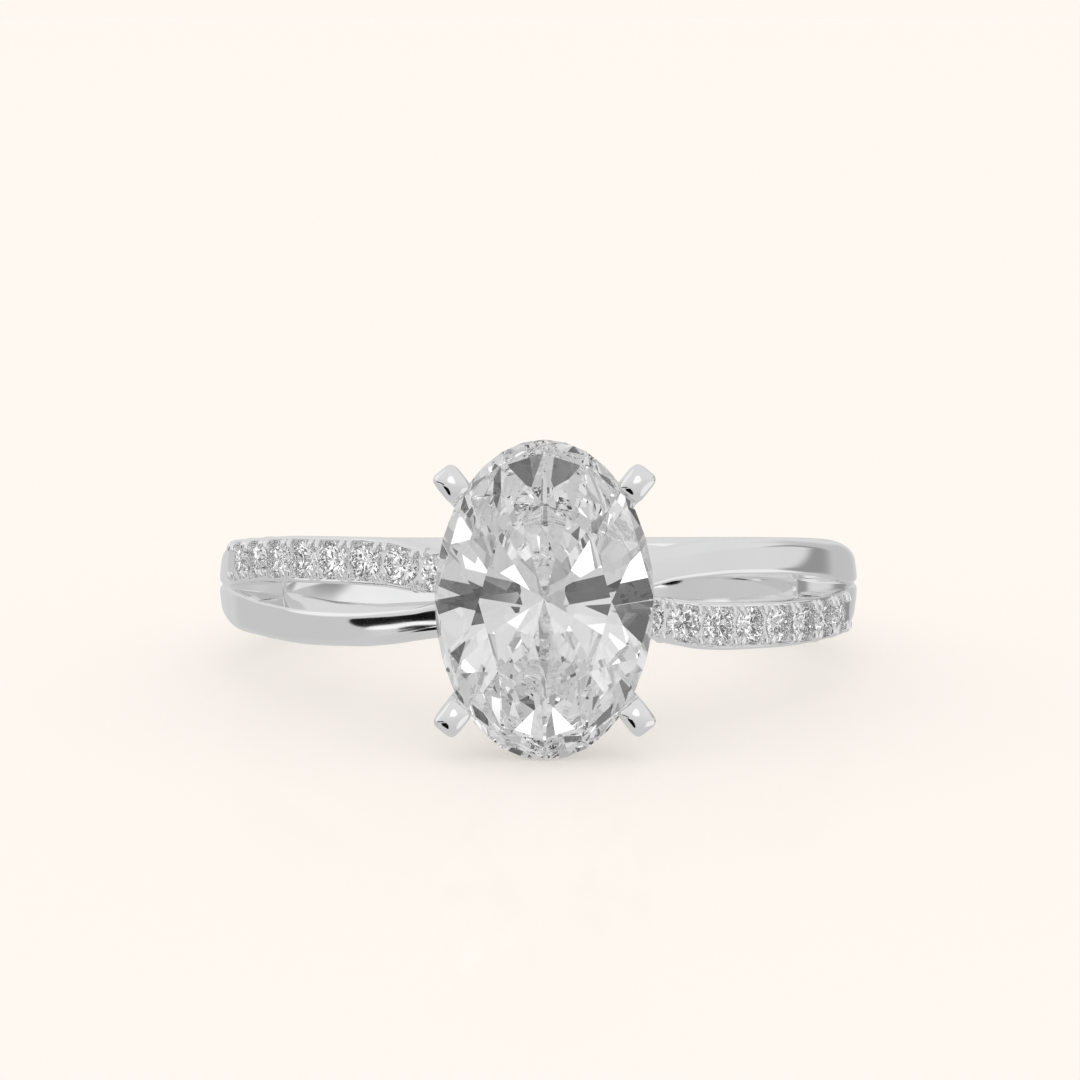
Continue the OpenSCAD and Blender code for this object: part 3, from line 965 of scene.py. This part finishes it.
# The first eight are broad and soft, the others are small light and dark ones
STONE_CARDS = [
    (90, 40, 10, 30, 0.9, 0.75),
    (-150, 30, 0, 35, 0.9, 0.72),
    (-95, 22, -10, 22, 0.9, 0.3),
    (140, 18, 30, 20, 0.9, 0.3),
    (0, 40, -55, 18, 0.9, 0.3),
    (0, 60, 62, 14, 0.9, 0.85),
    (-35, 16, 10, 22, 0.9, 0.42),
    (60, 18, 0, 20, 0.9, 0.45),
    (3, 9, 3, 14, 0.3, 0.03),
    (-12, 8, -2, 8, 0.3, 0.06),
    (18, 9, 34, 8, 0.4, 1.2),
    (0, 6, 30, 8, 0.3, 0.08),
    (-75, 13, 34, 18, 0.4, 0.12),
    (-50, 20, -28, 7, 0.4, 1.4),
    (8, 8, -24, 6, 0.4, 1.5),
    (165, 22, -14, 12, 0.4, 0.12),
    (-130, 14, -45, 12, 0.4, 0.12),
    (-163, 11, 37, 10, 0.4, 1.5),
    (108, 12, 38, 8, 0.4, 1.2),
    (45, 9, 8, 7, 0.3, 1.1),
    (62, 12, -28, 8, 0.4, 0.12),
    (-42, 12, 43, 9, 0.4, 0.03),
    (50, 12, 43, 9, 0.4, 0.03),
    (-100, 10, 12, 9, 0.4, 0.1),
    (120, 9, -8, 9, 0.4, 0.1),
    (72, 10, 40, 9, 0.4, 0.04),
    (180, 18, -58, 9, 0.4, 0.04),
    (50, 10, -42, 8, 0.4, 0.04),
    (176, 14, 40, 8, 0.4, 1.4),
]
# Light through the small stones: fineness of its light and dark patches, and their brightness
PATCH_SCALE = 5.0
PATCH_DARK = 0.0
PATCH_LIGHT = 1.35
PATCH_SPAN = (0.41, 0.59)
# Light without cards, from low to high, for metal and for the oval
LEVEL_SPAN = (-30, 30)
METAL_LEVEL = (0.63, 0.78)
STONE_LEVEL = (0.54, 0.74)


# Studio: the light round the ring, by direction. Metal sees one set of cards. Light through the oval, whose
# facets are perfectly smooth, sees the other, and light through the small stones sees the patches.
def studio():
    world = bpy.data.worlds.new("studio")
    bpy.context.scene.world = world
    world.use_nodes = True
    tree = world.node_tree
    tree.nodes.clear()
    where = tree.nodes.new("ShaderNodeTexCoord")
    parts = tree.nodes.new("ShaderNodeSeparateXYZ")
    tree.links.new(where.outputs["Generated"], parts.inputs[0])

    def math_node(operation, a, b=None, c=None):
        node = tree.nodes.new("ShaderNodeMath")
        node.operation = operation
        for k, value in enumerate((a, b, c)):
            if value is None:
                continue
            if isinstance(value, (int, float)):
                node.inputs[k].default_value = value
            else:
                tree.links.new(value, node.inputs[k])
        return node.outputs[0]

    front = math_node("MULTIPLY", parts.outputs[1], -1)
    azimuth = math_node("MULTIPLY", math_node("ARCTAN2", parts.outputs[0], front), math.degrees(1))
    elevation = math_node("MULTIPLY", math_node("ARCSINE", parts.outputs[2]), math.degrees(1))

    def mask(az, az_half, el, el_half, soft):
        wide = math_node("WRAP", math_node("SUBTRACT", azimuth, az), -180, 180)
        wide = math_node("POWER", math_node("DIVIDE", math_node("ABSOLUTE", wide), az_half), CARD_POWER)
        high = math_node("ABSOLUTE", math_node("SUBTRACT", elevation, el))
        high = math_node("POWER", math_node("DIVIDE", high, el_half), CARD_POWER)
        node = tree.nodes.new("ShaderNodeMapRange")
        node.interpolation_type = "SMOOTHSTEP"
        node.inputs["From Min"].default_value = 1 + soft
        node.inputs["From Max"].default_value = 1 - soft
        tree.links.new(math_node("ADD", wide, high), node.inputs["Value"])
        return node.outputs["Result"]

    def lit(span, cards):
        level = ranged(tree, elevation, *LEVEL_SPAN, *span)
        for az, az_half, el, el_half, soft, value in cards:
            share = mask(az, az_half, el, el_half, soft)
            level = math_node("MULTIPLY_ADD", share, math_node("SUBTRACT", value, level), level)
        shade = tree.nodes.new("ShaderNodeBackground")
        tree.links.new(level, shade.inputs["Color"])
        return shade.outputs[0]

    def patches():
        grain = tree.nodes.new("ShaderNodeTexNoise")
        grain.inputs["Scale"].default_value = PATCH_SCALE
        grain.inputs["Detail"].default_value = 0
        tree.links.new(where.outputs["Generated"], grain.inputs["Vector"])
        shade = tree.nodes.new("ShaderNodeBackground")
        level = ranged(tree, grain.outputs["Fac"], *PATCH_SPAN, PATCH_DARK, PATCH_LIGHT)
        tree.links.new(level, shade.inputs["Color"])
        return shade.outputs[0]

    path = tree.nodes.new("ShaderNodeLightPath")

    def choose(ray, no, yes):
        node = tree.nodes.new("ShaderNodeMixShader")
        tree.links.new(path.outputs[ray], node.inputs["Fac"])
        tree.links.new(no, node.inputs[1])
        tree.links.new(yes, node.inputs[2])
        return node.outputs[0]

    seen = tree.nodes.new("ShaderNodeBackground")
    seen.inputs["Color"].default_value = CREAM + (1,)
    metal, stones = lit(METAL_LEVEL, METAL_CARDS), lit(STONE_LEVEL, STONE_CARDS)
    out = tree.nodes.new("ShaderNodeOutputWorld")
    light = choose("Is Transmission Ray", metal, choose("Is Singular Ray", patches(), stones))
    tree.links.new(choose("Is Camera Ray", light, seen.outputs[0]), out.inputs["Surface"])


studio()

# Camera: the photo's 1080 pixels are 36 mm on its sensor. It aims a little above the ring's middle, and its
# clipping range is in metres.
FRAME_PX = 1080
SENSOR = 36.0
FOCAL_PX = 3000.0
DISTANCE = 95.2
AIM_UP = 1.33
AIM_RIGHT = 0.05
CLIP = (0.001, 100)
CAMERA_AZ = math.radians(0.8)
CAMERA_EL = math.radians(1.5) + LAY_TILT


def make_camera():
    ahead = Vector((
        math.sin(CAMERA_AZ) * math.cos(CAMERA_EL),
        math.cos(CAMERA_AZ) * math.cos(CAMERA_EL),
        -math.sin(CAMERA_EL),
    ))
    right = Vector((math.cos(CAMERA_AZ), -math.sin(CAMERA_AZ), 0))
    up = right.cross(ahead)
    target = CENTRE + right * AIM_RIGHT + up * AIM_UP
    data = bpy.data.cameras.new("camera")
    data.sensor_width = SENSOR
    data.lens = FOCAL_PX / FRAME_PX * SENSOR
    data.clip_start, data.clip_end = CLIP
    camera = bpy.data.objects.new("camera", data)
    bpy.context.scene.collection.objects.link(camera)
    turn = Matrix((right, up, -ahead)).transposed().to_4x4()
    camera.matrix_world = Matrix.Translation((target - ahead * DISTANCE) * MM) @ turn
    bpy.context.scene.camera = camera


make_camera()

# Light crosses a stone many times before it leaves
BOUNCES = 32
CLEAR_BOUNCES = 16
scene = bpy.context.scene
scene.view_settings.view_transform = "Standard"
scene.cycles.max_bounces = BOUNCES
scene.cycles.transmission_bounces = BOUNCES
scene.cycles.glossy_bounces = BOUNCES
scene.cycles.transparent_max_bounces = CLEAR_BOUNCES
